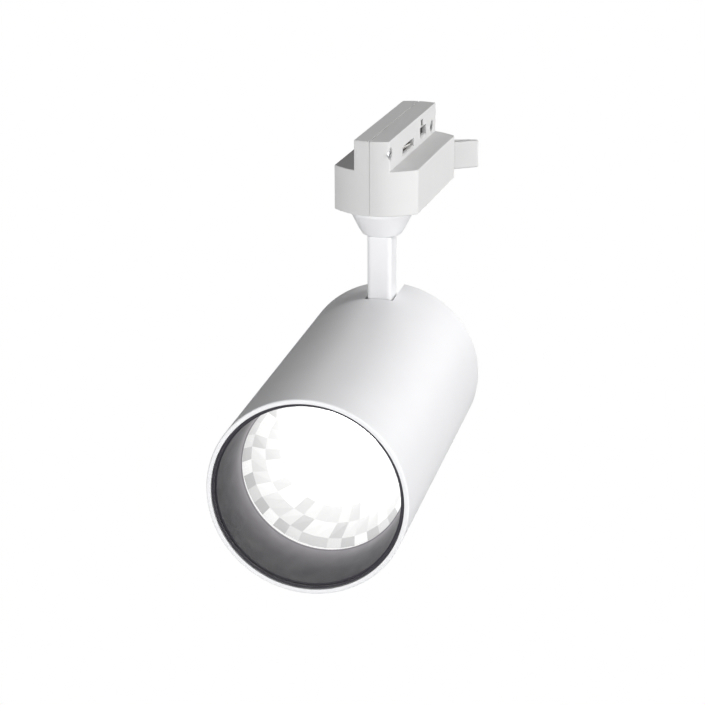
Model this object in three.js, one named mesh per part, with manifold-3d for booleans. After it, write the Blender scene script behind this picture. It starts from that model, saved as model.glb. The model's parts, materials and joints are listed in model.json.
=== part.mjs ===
// Track spotlight: a track adapter with a lock lever, a swivelling stem and a tilting cylindrical lamp.
//
// Units are millimetres and +Z is up. The origin is on top of the adapter's tongue, on the swivel axis.
// +Y runs along the track, from the stem end of the adapter to its lever end. The lamp opens towards -Y,
// with its stem swivelled a few degrees off the track.

import * as THREE from 'three';
import { mergeVertices } from 'three/addons/utils/BufferGeometryUtils.js';
import Module from 'manifold-3d';

const wasm = await Module();
wasm.setup();

// ---------------------------------------------------------------- driving dimensions

const GAP = 0.3; // space left between pieces that touch

// adapter: a T in section, in two half shells
const BODY_WIDTH = 34.6;
const TONGUE_WIDTH = 14.5;
const TONGUE_HEIGHT = 12.2;
const BODY_HEIGHT = 18.2;
const NEAR_CHORD = -9.2; // where the long sides end, in Y
const FAR_CHORD = 54.2;
const END_BULGE = 8.5; // how far each bowed end stands out past its chord
const SHELL_WALL = 1.8;
const SEAM_X = -0.5; // the shells meet just left of the middle

const SHOULDER_Z = -TONGUE_HEIGHT;
const UNDERSIDE_Z = SHOULDER_Z - BODY_HEIGHT;
const FLOOR_Z = UNDERSIDE_Z + 2; // inside floor of the adapter

// screws that hold the half shells together
const SHELL_SCREWS = {
  near: { y: -14.1, z: -5.4 },
  far: { y: 54.4, z: -8.9 },
};
const SCREW_SEAT_X = 5.2;

// lock lever and its wing, on one upright shaft
const LOCK_Y = 41;
const LOCK_TURN = 80; // degrees from open to locked, used for the lever's slot
const LEVER_ANGLE = 35; // degrees from +X to the lever when open
const LEVER_REACH = 33.2;
const LEVER_TOP = -15.1;
const LEVER_BOTTOM = -26.8;
const WING_RADIUS = 8.6;
const WING_HALF_WIDTH = 2.3;
const SHAFT_RADIUS = 2.5;
const SHAFT_TOP = -2.1;
const LOCK_WINDOW = { back: -6.7, front: 3, z: [-9.4, -5.7] }; // back and front are from LOCK_Y
const STATUS_WINDOW = { y: [35.2, 38.8], z: [-5.1, -2.3] }; // small window above the right lock window

// contacts
const CONTACT_Y = [5.1, 22.9];
const CONTACT_Z = [-10.1, -7.1];
const CONTACT_SLANT = -5.5; // degrees that each blade leans in its window
const CARRIER_END = 1.7; // thickness of each end plate of the contact carrier

// stem
const REST_SWIVEL = 3; // degrees from the track to the lamp's axis
const STEM_WIDTH = 9.5;
const STEM_DEPTH = 13;
const SPIGOT_RADIUS = 5;
const CUP_TOP = UNDERSIDE_Z - 0.6;
const CUP_BOTTOM = CUP_TOP - 10.7;
const CUP_RADIUS = 12.2;
const PIVOT_Z = -81.6; // tilt axis, across the stem's lower end
const WIRE_BORE = 2.4;
const WIRE_EXIT_Z = PIVOT_Z + 10.2;
const SPIGOT_TOP = -21;
const EYE_BORE = 2.3;
const SPOT_FACE = { radius: 6.1, depth: 0.95 };

// washers and nut on the spigot, inside the adapter
const NYLON_WASHER_Z = [FLOOR_Z + GAP, FLOOR_Z + GAP + 1];
const SPRING_WASHER_Z = [NYLON_WASHER_Z[1] + GAP, NYLON_WASHER_Z[1] + GAP + 0.9];
const NUT_Z = [SPRING_WASHER_Z[1] + GAP, SPRING_WASHER_Z[1] + GAP + 3];

// lamp, in its own group: origin on the lamp axis under the swivel axis
const LAMP_AXIS_Z = -105.1;
const LAMP_RADIUS = 37.5;
const TUBE_WALL = 1.8;
const LAMP_FRONT = -132;
const LAMP_REAR = 18;
const SLOT_HALF_WIDTH = 5.8;
const SLOT_FRONT = -STEM_DEPTH / 2 - 0.4;
const PIVOT_HEIGHT = PIVOT_Z - LAMP_AXIS_Z;
const TUBE_BORE = LAMP_RADIUS - TUBE_WALL;

// optics, from the front backwards
const BAFFLE_FRONT = LAMP_FRONT + 0.8;
const BAFFLE_REAR = LAMP_FRONT + 27.2;
const OPTIC_RADIUS = 31.3;
const GLASS_FRONT = BAFFLE_REAR + GAP;
const GLASS_THICKNESS = 1.7;
const REFLECTOR_FRONT = GLASS_FRONT + GLASS_THICKNESS + GAP;
const REFLECTOR_REAR = REFLECTOR_FRONT + 25.5;
const REFLECTOR_THROAT = 9.3;
const HOLDER_FRONT = REFLECTOR_REAR + GAP;
const HOLDER_THICKNESS = 4;
const SINK_FRONT = HOLDER_FRONT + HOLDER_THICKNESS + GAP;
const SINK_DISC = 5;
const SINK_REAR = SINK_FRONT + 21;
const SINK_POST = { x: 10.5, z: 18, radius: 3.2 };
const FINS = { pitch: 7, thickness: 1.8, perSide: 4 };
const LEAD_HOLE_Z = 21.5;
const GLASS_RADIUS = 33.8;
const BOARD_HALF = 9.5;
const BOARD_THICKNESS = 1.4;
const EMITTER = { radius: 7, thickness: 0.5 };
const HOLDER_SCREW_X = 17;

// chassis, hinge and driver behind the optics
const CHASSIS_Z = [11.4, 12.9];
const CHASSIS_FRONT = SINK_REAR + GAP;
const CAP_FRONT = 14.2;
const CAP_REAR = 17.2;
const CHASSIS_REAR = CAP_FRONT - GAP;
const FOOT_Z = [CHASSIS_Z[1] + GAP, CHASSIS_Z[1] + GAP + 1.7];
const CHEEK_X = [5.1, 6.9];
const CHEEK_HALF_DEPTH = 7;
const FOOT_SCREW_X = 10.8;
const CAP_SCREWS = { x: 9, z: 5 };
const CAP_HEAD_SEAT = CAP_REAR - 1.6;
const VENTS = { rows: 5, top: -4, pitch: 5.5, height: 2.2 };
const CHASSIS_HALF_WIDTH = 30;
const CHASSIS_SHEET = 1.5;
const HINGE_WASHER_X = [STEM_WIDTH / 2 - 0.65, STEM_WIDTH / 2 + 0.05];
const HINGE_SPRING_X = [CHEEK_X[1] + GAP, CHEEK_X[1] + GAP + 0.9];
const HINGE_HEAD_X = HINGE_SPRING_X[1] + GAP;
const DRIVER_WIDTH = 36;
const DRIVER_Z = [-18, CHASSIS_Z[0] - GAP];
const DRIVER_Y = [-42, 6];
const DRIVER_WALL = 1.5;
const DRIVER_SCREW = { x: 13, y: -36 };
const BOARD_Z = [-13.2, -11.6];
const PARTS_Z = BOARD_Z[1] + GAP; // where the driver's components stand

// ---------------------------------------------------------------- materials

function finish(color, roughness, metalness = 0) {
  return new THREE.MeshStandardMaterial({ color, roughness, metalness });
}

const WHITE_PAINT = finish('#f3f3f4', 0.38);
const WHITE_PLASTIC = finish('#efeeec', 0.55);
const BLACK_PLASTIC = finish('#1b1a1e', 0.6);
const NYLON = finish('#dcd8cc', 0.6);
const STEEL = finish('#b9bbbd', 0.35, 1);
const ALUMINIUM = finish('#c9cbce', 0.45, 1);
const BRASS = finish('#c9a760', 0.3, 1);
const TINNED = finish('#d7d8da', 0.3, 1);
const MIRROR = finish('#f2f3f5', 0.08, 1);
const GLASS = finish('#f4f8fa', 0.05);
GLASS.transparent = true;
GLASS.opacity = 0.25;
const PHOSPHOR = finish('#fff1c4', 0.6);
PHOSPHOR.emissive.set('#fff4d8');
const CERAMIC = finish('#f4f2ea', 0.5);
const CIRCUIT_BOARD = finish('#1f6b3d', 0.5);
const CAN_BLUE = finish('#26364f', 0.4);
const TAPE = finish('#d9b23a', 0.5);
const WIRE_BROWN = finish('#5a3320', 0.5);
const WIRE_BLUE = finish('#2d5f9e', 0.5);
const WIRE_RED = finish('#b3261f', 0.5);
const WIRE_BLACK = finish('#191919', 0.5);

// ---------------------------------------------------------------- solids

// Turns a closed geometry into a solid: merges its vertices, drops slivers and faces it outwards.
function solid(geometry) {
  const bare = geometry.clone();
  bare.deleteAttribute('normal');
  bare.deleteAttribute('uv');
  const merged = mergeVertices(bare, 1e-4);
  const points = merged.attributes.position;
  const corners = [0, 1, 2].map(() => new THREE.Vector3());
  const triangles = [];
  let volume = 0;
  for (let i = 0; i < merged.index.count; i += 3) {
    const [a, b, c] = [0, 1, 2].map((k) => merged.index.getX(i + k));
    if (a === b || b === c || c === a) continue;
    triangles.push([a, b, c]);
    [a, b, c].forEach((index, k) => corners[k].fromBufferAttribute(points, index));
    volume += corners[0].dot(corners[1].cross(corners[2]));
  }
  const order = volume < 0 ? [0, 2, 1] : [0, 1, 2];
  const triVerts = Uint32Array.from(triangles.flatMap((t) => order.map((k) => t[k])));
  return new wasm.Manifold(new wasm.Mesh({ numProp: 3, vertProperties: points.array, triVerts }));
}

// A box between two limits on each axis.
function block([x0, x1], [y0, y1], [z0, z1]) {
  const box = new THREE.BoxGeometry(x1 - x0, y1 - y0, z1 - z0);
  return solid(box.translate((x0 + x1) / 2, (y0 + y1) / 2, (z0 + z1) / 2));
}

// A round bar along an axis, from one level to another. The centre is its place on the other two axes.
function bar(axis, radius, [from, to], [u, v] = [0, 0], sides = 20) {
  const round = new THREE.CylinderGeometry(radius, radius, to - from, sides);
  const middle = (from + to) / 2;
  if (axis === 'x') return solid(round.rotateZ(Math.PI / 2).translate(middle, u, v));
  if (axis === 'y') return solid(round.translate(u, middle, v));
  return solid(round.rotateX(Math.PI / 2).translate(u, v, middle));
}

// A flat outline in X and Y, standing from one height to another.
function plate(shape, [z0, z1], curveSegments = 10) {
  const geometry = new THREE.ExtrudeGeometry(shape, { depth: z1 - z0, bevelEnabled: false, curveSegments });
  return solid(geometry.translate(0, 0, z0));
}

// A closed profile of [radius, height] points, turned about Z or Y.
function turned(axis, profile, sides = 36) {
  const points = [...profile, profile[0]].map(([r, h]) => new THREE.Vector2(r, h));
  const geometry = new THREE.LatheGeometry(points, sides);
  return solid(axis === 'z' ? geometry.rotateX(Math.PI / 2) : geometry);
}

// A ring along an axis.
function ring(axis, outer, inner, span, centre = [0, 0], sides = 24) {
  const hole = bar(axis, inner, [span[0] - 1, span[1] + 1], centre, sides);
  return bar(axis, outer, span, centre, sides).subtract(hole);
}

// A round wire along a smooth curve through the given points.
function wire(radius, route, steps = 14) {
  const section = new THREE.Shape();
  section.absarc(0, 0, radius, 0, Math.PI * 2, false);
  const extrudePath = new THREE.CatmullRomCurve3(route.map((p) => new THREE.Vector3(...p)));
  const options = { steps, extrudePath, curveSegments: 3, bevelEnabled: false };
  return solid(new THREE.ExtrudeGeometry(section, options));
}

// A rectangle with round corners, centred on the origin.
function roundedRectangle(width, depth, radius) {
  const [w, d] = [width / 2 - radius, depth / 2 - radius];
  const shape = new THREE.Shape();
  shape.absarc(w, d, radius, 0, Math.PI / 2, false);
  shape.absarc(-w, d, radius, Math.PI / 2, Math.PI, false);
  shape.absarc(-w, -d, radius, Math.PI, Math.PI * 1.5, false);
  shape.absarc(w, -d, radius, Math.PI * 1.5, Math.PI * 2, false);
  shape.closePath();
  return shape;
}

// A pan-head screw along an axis. Its shank runs from the head's seat towards the tip.
function screw(axis, seat, tip, centre, shankRadius, headRadius, headHeight) {
  const way = Math.sign(seat - tip);
  const head = [seat, seat + way * headHeight].sort((a, b) => a - b);
  const shank = [tip, seat + way * headHeight * 0.5].sort((a, b) => a - b);
  const slotFloor = seat + way * headHeight * 0.5;
  const driveDepth = [slotFloor, seat + way * (headHeight + 1)].sort((a, b) => a - b);
  const drive = bar(axis, headRadius * 0.42, driveDepth, centre, 6);
  return bar(axis, headRadius, head, centre, 16)
    .subtract(drive)
    .add(bar(axis, shankRadius, shank, centre, 10));
}

function mesh(name, body, material) {
  const { vertProperties, triVerts } = body.getMesh();
  const geometry = new THREE.BufferGeometry();
  geometry.setAttribute('position', new THREE.BufferAttribute(Float32Array.from(vertProperties), 3));
  geometry.setIndex(new THREE.BufferAttribute(Uint32Array.from(triVerts), 1));
  geometry.computeVertexNormals();
  const piece = new THREE.Mesh(geometry, material);
  piece.name = name;
  return piece;
}

// ---------------------------------------------------------------- adapter

// The adapter seen from above: straight sides, and ends bowed on one parabola for body and tongue.
function adapterOutline(halfWidth, endInset = 0) {
  const share = (halfWidth / (BODY_WIDTH / 2)) ** 2;
  const far = FAR_CHORD + END_BULGE * (1 - share) - endInset;
  const near = NEAR_CHORD - END_BULGE * (1 - share) + endInset;
  const bow = 2 * END_BULGE * share;
  const shape = new THREE.Shape();
  shape.moveTo(halfWidth, near);
  shape.lineTo(halfWidth, far);
  shape.quadraticCurveTo(0, far + bow, -halfWidth, far);
  shape.lineTo(-halfWidth, near);
  shape.quadraticCurveTo(0, near - bow, halfWidth, near);
  return shape;
}

// The plan of the space that the lever sweeps through the far end of the body.
function leverSlotShape() {
  const shape = new THREE.Shape();
  const slope = Math.tan(THREE.MathUtils.degToRad(LEVER_ANGLE));
  const rightFace = (x) => FAR_CHORD - 0.6 - (BODY_WIDTH / 2 - x) * slope;
  shape.moveTo(6, rightFace(6));
  shape.lineTo(30, rightFace(30));
  shape.lineTo(30, FAR_CHORD + 26);
  const leftSlope = Math.tan(THREE.MathUtils.degToRad(LEVER_ANGLE + LOCK_TURN - 90));
  const leftFace = (y) => -13.2 - (y - 52) * leftSlope;
  shape.lineTo(leftFace(FAR_CHORD + 26), FAR_CHORD + 26);
  shape.lineTo(leftFace(52), 52);
  shape.closePath();
  return shape;
}

function adapterBlank() {
  const half = BODY_WIDTH / 2;
  const tongueHalf = TONGUE_WIDTH / 2;
  const skin = plate(adapterOutline(half), [UNDERSIDE_Z, SHOULDER_Z])
    .add(plate(adapterOutline(tongueHalf), [SHOULDER_Z - 1, 0]));
  const hollow = plate(adapterOutline(half - SHELL_WALL, 2), [FLOOR_Z, SHOULDER_Z - SHELL_WALL])
    .add(plate(adapterOutline(tongueHalf - 1.6, 2), [SHOULDER_Z - SHELL_WALL - 1, -1.6]));
  let blank = skin.subtract(hollow);

  // bosses: two for the screws, two that carry the lock shaft, and the stop for the swivel
  for (const { y, z } of Object.values(SHELL_SCREWS)) {
    blank = blank.add(bar('x', 2.9, [-tongueHalf + 1, tongueHalf - 1], [y, z], 20));
  }
  blank = blank
    .add(bar('z', 4.8, [-4.6, -1], [0, LOCK_Y]))
    .add(bar('z', 4.8, [FLOOR_Z - 0.5, LEVER_BOTTOM - GAP], [0, LOCK_Y]))
    .add(block([SEAM_X, 0.9], [-12.4, -9.6], [FLOOR_Z - 0.5, FLOOR_Z + 1.6]));

  // holes: screws, lock shaft and swivel spigot
  for (const { y, z } of Object.values(SHELL_SCREWS)) {
    blank = blank
      .subtract(bar('x', 1.25, [-5, 1], [y, z], 16))
      .subtract(bar('x', 1.6, [SEAM_X, tongueHalf], [y, z], 16))
      .subtract(bar('x', 2.5, [SCREW_SEAT_X, tongueHalf + 1], [y, z], 20));
  }
  blank = blank
    .subtract(bar('z', SHAFT_RADIUS + GAP, [LEVER_BOTTOM - 1.4, SHAFT_TOP + 0.4], [0, LOCK_Y]))
    .subtract(bar('z', SPIGOT_RADIUS + GAP, [UNDERSIDE_Z - 1, FLOOR_Z + 1], [0, 0], 32));

  // openings: lever slot, contact windows, lock windows and the small window above the right one
  const wallRight = [tongueHalf - 3, tongueHalf + 1];
  const wallLeft = [-tongueHalf - 1, -tongueHalf + 3];
  const { back, front, z } = LOCK_WINDOW;
  blank = blank
    .subtract(plate(leverSlotShape(), [LEVER_BOTTOM - GAP, LEVER_TOP + GAP + 0.2]))
    .subtract(block(wallRight, CONTACT_Y, CONTACT_Z))
    .subtract(block(wallLeft, CONTACT_Y, CONTACT_Z))
    .subtract(block(wallRight, [LOCK_Y + back, LOCK_Y + front], z))
    .subtract(block(wallLeft, [LOCK_Y - front, LOCK_Y - back], z))
    .subtract(block([tongueHalf - 1.9, tongueHalf + 1], STATUS_WINDOW.y, STATUS_WINDOW.z));
  return blank;
}

function adapterShells() {
  const blank = adapterBlank();
  const tall = [UNDERSIDE_Z - 5, 5];
  const long = [-50, 100];
  return [
    mesh('adapter_shell_right', blank.intersect(block([SEAM_X + GAP / 2, 50], long, tall)), WHITE_PLASTIC),
    mesh('adapter_shell_left', blank.intersect(block([-50, SEAM_X - GAP / 2], long, tall)), WHITE_PLASTIC),
  ];
}

function adapterScrews() {
  return Object.entries(SHELL_SCREWS).map(([place, { y, z }]) =>
    mesh(`adapter_screw_${place}`, screw('x', SCREW_SEAT_X + GAP, -3.6, [y, z], 0.95, 2.1, 1.4), STEEL));
}

// The insulating block that guides both contacts. Its end plates locate it between the tongue's walls.
function contactCarrier() {
  const near = CONTACT_Y[0] - 0.9;
  const far = CONTACT_Y[1] + 0.9;
  const endHeight = [-13.2, -3.4];
  return block([-1.6, 1.6], [near - CARRIER_END, far + CARRIER_END], [-12.4, -4])
    .add(block([-5.2, 5.2], [near - CARRIER_END, near], endHeight))
    .add(block([-5.2, 5.2], [far, far + CARRIER_END], endHeight));
}

// A flat contact blade that lies aslant in its window. side is 1 on the right and -1 on the left.
function contactBlade(side) {
  const [y0, y1] = CONTACT_Y;
  const [z0, z1] = CONTACT_Z;
  const slant = THREE.MathUtils.degToRad(CONTACT_SLANT);
  const blade = new THREE.BoxGeometry(4.4, y1 - y0 - 1.2, 1.1).rotateX(slant);
  return solid(blade.translate(side * 4.3, (y0 + y1) / 2, (z0 + z1) / 2));
}

function adapterLead(side) {
  return wire(0.8, [
    [side * 3.2, 1.2, -11], [side * 3.4, -0.5, -13], [side * 2.6, -0.5, -16], [side * 1.3, 0, -18.6],
  ], 6);
}

// ---------------------------------------------------------------- lock lever

// Distances along and across the lever arm, turned to the open angle about the lock shaft.
function leverShape() {
  const angle = THREE.MathUtils.degToRad(LEVER_ANGLE);
  const [cos, sin] = [Math.cos(angle), Math.sin(angle)];
  const at = (u, v) => [u * cos - v * sin, LOCK_Y + u * sin + v * cos];
  const shape = new THREE.Shape();
  shape.moveTo(...at(0, 0.9));
  shape.lineTo(...at(LEVER_REACH - 1.4, 0.9));
  shape.quadraticCurveTo(...at(LEVER_REACH + 0.2, 1.1), ...at(LEVER_REACH - 0.4, 2.6));
  shape.quadraticCurveTo(...at(LEVER_REACH - 7, 6.6), ...at(LEVER_REACH - 15, 6.6));
  shape.lineTo(...at(0, 5.2));
  shape.closePath();
  return shape;
}

function lockLever() {
  const z = [LEVER_BOTTOM, LEVER_TOP];
  return plate(leverShape(), z)
    .add(bar('z', 5.5, z, [0, LOCK_Y]))
    .add(bar('z', SHAFT_RADIUS, [LEVER_BOTTOM - 1.1, SHAFT_TOP], [0, LOCK_Y]));
}

function lockWing() {
  const thick = [LOCK_WINDOW.z[0] + GAP, LOCK_WINDOW.z[1] - GAP];
  const strip = block([-WING_HALF_WIDTH, WING_HALF_WIDTH], [LOCK_Y - 10, LOCK_Y + 10], thick);
  const hub = bar('z', 4.4, thick, [0, LOCK_Y]);
  return bar('z', WING_RADIUS, thick, [0, LOCK_Y], 40)
    .intersect(strip)
    .add(hub)
    .subtract(bar('z', SHAFT_RADIUS + GAP, [-12, -3], [0, LOCK_Y]));
}

// ---------------------------------------------------------------- stem

// One casting: a hollow round spigot, the bar below it and an eye at the bar's lower end.
function stemArm() {
  const barTop = CUP_BOTTOM - GAP;
  const shaft = plate(roundedRectangle(STEM_WIDTH, STEM_DEPTH, 2), [PIVOT_Z, barTop], 4);
  const eye = bar('x', STEM_DEPTH / 2, [-STEM_WIDTH / 2, STEM_WIDTH / 2], [0, PIVOT_Z], 32);
  const [inner, outer] = [STEM_WIDTH / 2 - SPOT_FACE.depth, STEM_WIDTH / 2 + 1];
  return shaft
    .add(eye)
    .add(bar('z', SPIGOT_RADIUS - 1, [barTop - 1, SPIGOT_TOP], [0, 0], 32))
    .add(bar('z', SPIGOT_RADIUS, [CUP_BOTTOM + 2.6, SPIGOT_TOP], [0, 0], 32))
    .subtract(bar('x', SPOT_FACE.radius, [inner, outer], [0, PIVOT_Z], 32))
    .subtract(bar('x', SPOT_FACE.radius, [-outer, -inner], [0, PIVOT_Z], 32))
    .subtract(bar('x', EYE_BORE, [-10, 10], [0, PIVOT_Z], 20))
    .subtract(bar('z', WIRE_BORE, [WIRE_EXIT_Z - 2, SPIGOT_TOP + 1], [0, 0], 20))
    .subtract(bar('y', 2.6, [-STEM_DEPTH, 0], [0, WIRE_EXIT_Z], 20));
}

// The conical cover between the adapter and the bar, open inside.
function swivelCup() {
  const wall = 1.4;
  const neck = SPIGOT_RADIUS - 1 + GAP;
  return turned('z', [
    [CUP_RADIUS, CUP_TOP],
    [CUP_RADIUS, CUP_TOP - 1.6],
    [CUP_RADIUS - 3.1, CUP_TOP - 7.8],
    [CUP_RADIUS - 3.9, CUP_TOP - 9.6],
    [CUP_RADIUS - 4.9, CUP_BOTTOM],
    [neck, CUP_BOTTOM],
    [neck, CUP_BOTTOM + 2.2],
    [CUP_RADIUS - 5.2, CUP_BOTTOM + 2.2],
    [CUP_RADIUS - wall, CUP_TOP - 1.9],
    [CUP_RADIUS - wall, CUP_TOP],
  ], 36);
}

// The nylon washer's tab meets the stop in the adapter and ends the swivel.
function swivelWasher() {
  const washer = ring('z', 9, SPIGOT_RADIUS + GAP, NYLON_WASHER_Z, [0, 0], 32);
  return washer.add(block([-0.8, 0.8], [8.2, 12], NYLON_WASHER_Z));
}

function hexNut(axis, span, acrossCorners, boreRadius, centre) {
  const bore = bar(axis, boreRadius, [span[0] - 1, span[1] + 1], centre, 24);
  return bar(axis, acrossCorners / 2, span, centre, 6).subtract(bore);
}

function stemLead(side) {
  const exit = WIRE_EXIT_Z;
  const x = side;
  return wire(0.75, [
    [x, 0, SPIGOT_TOP + 2], [x, 0, -45], [x, 0, exit + 5],
    [x, -1.4, exit + 1], [x, -4.5, exit], [x, -7.4, exit],
  ], 15);
}

// ---------------------------------------------------------------- lamp housing

function lampTube() {
  const slot = block([-SLOT_HALF_WIDTH, SLOT_HALF_WIDTH], [SLOT_FRONT, LAMP_REAR + 1], [TUBE_BORE - 8, 50]);
  const edge = 0.4;
  return turned('y', [
    [LAMP_RADIUS - edge, LAMP_FRONT],
    [LAMP_RADIUS, LAMP_FRONT + edge],
    [LAMP_RADIUS, LAMP_REAR - edge],
    [LAMP_RADIUS - edge, LAMP_REAR],
    [TUBE_BORE, LAMP_REAR],
    [TUBE_BORE, LAMP_FRONT],
  ], 72).subtract(slot);
}

// The closing disc at the back, with the hinge slot, vents and two countersunk screw seats.
function rearCap() {
  const slotBottom = PIVOT_HEIGHT - STEM_DEPTH / 2 - 0.4;
  const slot = block([-SLOT_HALF_WIDTH, SLOT_HALF_WIDTH], [10, 20], [slotBottom, 50]);
  let cap = bar('y', TUBE_BORE - GAP, [CAP_FRONT, CAP_REAR], [0, 0], 64).subtract(slot);
  for (const side of [-1, 1]) {
    const centre = [side * CAP_SCREWS.x, CAP_SCREWS.z];
    cap = cap
      .subtract(bar('y', 1.7, [10, 20], centre, 16))
      .subtract(bar('y', 3, [CAP_HEAD_SEAT, 20], centre, 20));
  }
  for (let row = 0; row < VENTS.rows; row += 1) {
    const z = VENTS.top - row * VENTS.pitch;
    const halfLength = 0.72 * Math.sqrt(TUBE_BORE ** 2 - z ** 2);
    const height = [z - VENTS.height / 2, z + VENTS.height / 2];
    cap = cap.subtract(block([-halfLength, halfLength], [10, 20], height));
  }
  return cap;
}

// A dark anti-glare cone: a lip at the front, a thin cone and a rear flange that backs the glass.
function baffle() {
  const outer = TUBE_BORE - GAP;
  return turned('y', [
    [outer - 0.7, BAFFLE_FRONT],
    [outer, BAFFLE_FRONT],
    [outer, BAFFLE_FRONT + 2],
    [outer - 0.4, BAFFLE_FRONT + 2.2],
    [OPTIC_RADIUS + 1.3, BAFFLE_REAR - 1.5],
    [outer, BAFFLE_REAR - 1.5],
    [outer, BAFFLE_REAR],
    [OPTIC_RADIUS, BAFFLE_REAR],
  ], 48);
}

// ---------------------------------------------------------------- optics

function reflector() {
  const outer = TUBE_BORE - 0.9;
  const skin = 1.2;
  const depth = REFLECTOR_REAR - REFLECTOR_FRONT;
  const rim = OPTIC_RADIUS - 0.2;
  const radiusAt = (y) => {
    const share = (REFLECTOR_REAR - y) / depth;
    return Math.sqrt(REFLECTOR_THROAT ** 2 + (rim ** 2 - REFLECTOR_THROAT ** 2) * share);
  };
  const rings = 5;
  const levels = Array.from({ length: rings }, (_, i) => REFLECTOR_FRONT + (depth * i) / (rings - 1));
  const inside = levels.map((y) => [radiusAt(y), y]);
  const outside = levels.slice(1).reverse().map((y) => [radiusAt(y) + skin, y]);
  return turned('y', [
    ...inside,
    ...outside,
    [rim + skin, REFLECTOR_FRONT + skin],
    [outer, REFLECTOR_FRONT + skin],
    [outer, GLASS_FRONT],
    [GLASS_RADIUS + GAP, GLASS_FRONT],
    [GLASS_RADIUS + GAP, REFLECTOR_FRONT],
  ], 40);
}

function ledHolder() {
  const rear = HOLDER_FRONT + HOLDER_THICKNESS;
  const pocket = BOARD_HALF + GAP;
  const pocketFloor = rear - BOARD_THICKNESS - GAP;
  let holder = bar('y', 20.5, [HOLDER_FRONT, rear], [0, 0], 48)
    .subtract(bar('y', 8.4, [HOLDER_FRONT - 1, rear + 1], [0, 0], 40))
    .subtract(block([-pocket, pocket], [pocketFloor, rear + 1], [-pocket, pocket]));
  for (const side of [-1, 1]) {
    const centre = [side * HOLDER_SCREW_X, 0];
    holder = holder.subtract(bar('y', 1.7, [HOLDER_FRONT - 1, rear + 1], centre, 16));
  }
  return holder.subtract(block([-3, 3], [HOLDER_FRONT + 2, rear + 1], [8, 24]));
}

// A thick disc behind the LED with upright fins and two screw posts for the chassis plate.
function heatSink() {
  const discRear = SINK_FRONT + SINK_DISC;
  const finRadius = TUBE_BORE - 1.6;
  let sink = bar('y', TUBE_BORE - GAP, [SINK_FRONT, discRear], [0, 0], 64);
  for (let i = -FINS.perSide; i <= FINS.perSide; i += 1) {
    const x = i * FINS.pitch;
    const halfHeight = Math.sqrt(finRadius ** 2 - (Math.abs(x) + FINS.thickness / 2) ** 2);
    const fin = [x - FINS.thickness / 2, x + FINS.thickness / 2];
    sink = sink.add(block(fin, [discRear - 1, SINK_REAR], [-halfHeight, halfHeight]));
  }
  for (const side of [-1, 1]) {
    const post = [side * SINK_POST.x, SINK_POST.z];
    sink = sink
      .add(bar('y', SINK_POST.radius, [discRear - 1, SINK_REAR], post, 20))
      .subtract(bar('y', 1.4, [SINK_REAR - 7, SINK_REAR + 1], post, 16))
      .subtract(bar('y', 1.4, [SINK_FRONT - 1, SINK_FRONT + 4], [side * HOLDER_SCREW_X, 0], 16));
  }
  const leadHole = bar('y', 2.4, [SINK_FRONT - 1, SINK_REAR + 1], [0, LEAD_HOLE_Z], 20);
  return sink.subtract(leadHole);
}

// ---------------------------------------------------------------- chassis and hinge

// A bent plate along the lamp: a tab up at the front, a tab down at the back.
function chassisPlate() {
  const [z0, z1] = CHASSIS_Z;
  const across = [-CHASSIS_HALF_WIDTH, CHASSIS_HALF_WIDTH];
  const frontTab = [CHASSIS_FRONT, CHASSIS_FRONT + CHASSIS_SHEET];
  const rearTab = [CHASSIS_REAR - CHASSIS_SHEET, CHASSIS_REAR];
  const frontHole = [frontTab[0] - 1, frontTab[1] + 1];
  const rearHole = [rearTab[0] - 1, rearTab[1] + 1];
  const through = [z0 - 1, z1 + 1];
  let chassis = block(across, [CHASSIS_FRONT, CHASSIS_REAR], CHASSIS_Z)
    .add(block([-15, 15], frontTab, [z0, 23]))
    .add(block([-14, 14], rearTab, [0, z1]));
  for (const side of [-1, 1]) {
    chassis = chassis
      .subtract(bar('y', 1.8, frontHole, [side * SINK_POST.x, SINK_POST.z], 16))
      .subtract(bar('y', 1.3, rearHole, [side * CAP_SCREWS.x, CAP_SCREWS.z], 16))
      .subtract(bar('z', 1.3, through, [side * FOOT_SCREW_X, 0], 16))
      .subtract(bar('z', 1.3, through, [side * DRIVER_SCREW.x, DRIVER_SCREW.y], 16));
  }
  // passages for the supply leads and the LED leads
  return chassis
    .subtract(block([-4, 4], [-24, -16], through))
    .subtract(block([-5, 5], [CHASSIS_FRONT - 1, DRIVER_Y[0] + 4.5], [z0 - 1, 23.5]));
}

// An angle bracket beside the stem's eye: an upright cheek and a foot that points outwards.
function hingeBracket(side) {
  const depth = [-CHEEK_HALF_DEPTH, CHEEK_HALF_DEPTH];
  const across = (a, b) => [side * a, side * b].sort((p, q) => p - q);
  const cheek = across(...CHEEK_X);
  const pivot = [0, PIVOT_HEIGHT];
  return block(cheek, depth, [FOOT_Z[0], PIVOT_HEIGHT])
    .add(bar('x', CHEEK_HALF_DEPTH, cheek, pivot, 32))
    .add(block(across(CHEEK_X[0], 14.5), depth, FOOT_Z))
    .subtract(bar('x', EYE_BORE, [-20, 20], pivot, 20))
    .subtract(bar('z', 1.7, [FOOT_Z[0] - 1, FOOT_Z[1] + 1], [side * FOOT_SCREW_X, 0], 16));
}

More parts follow.
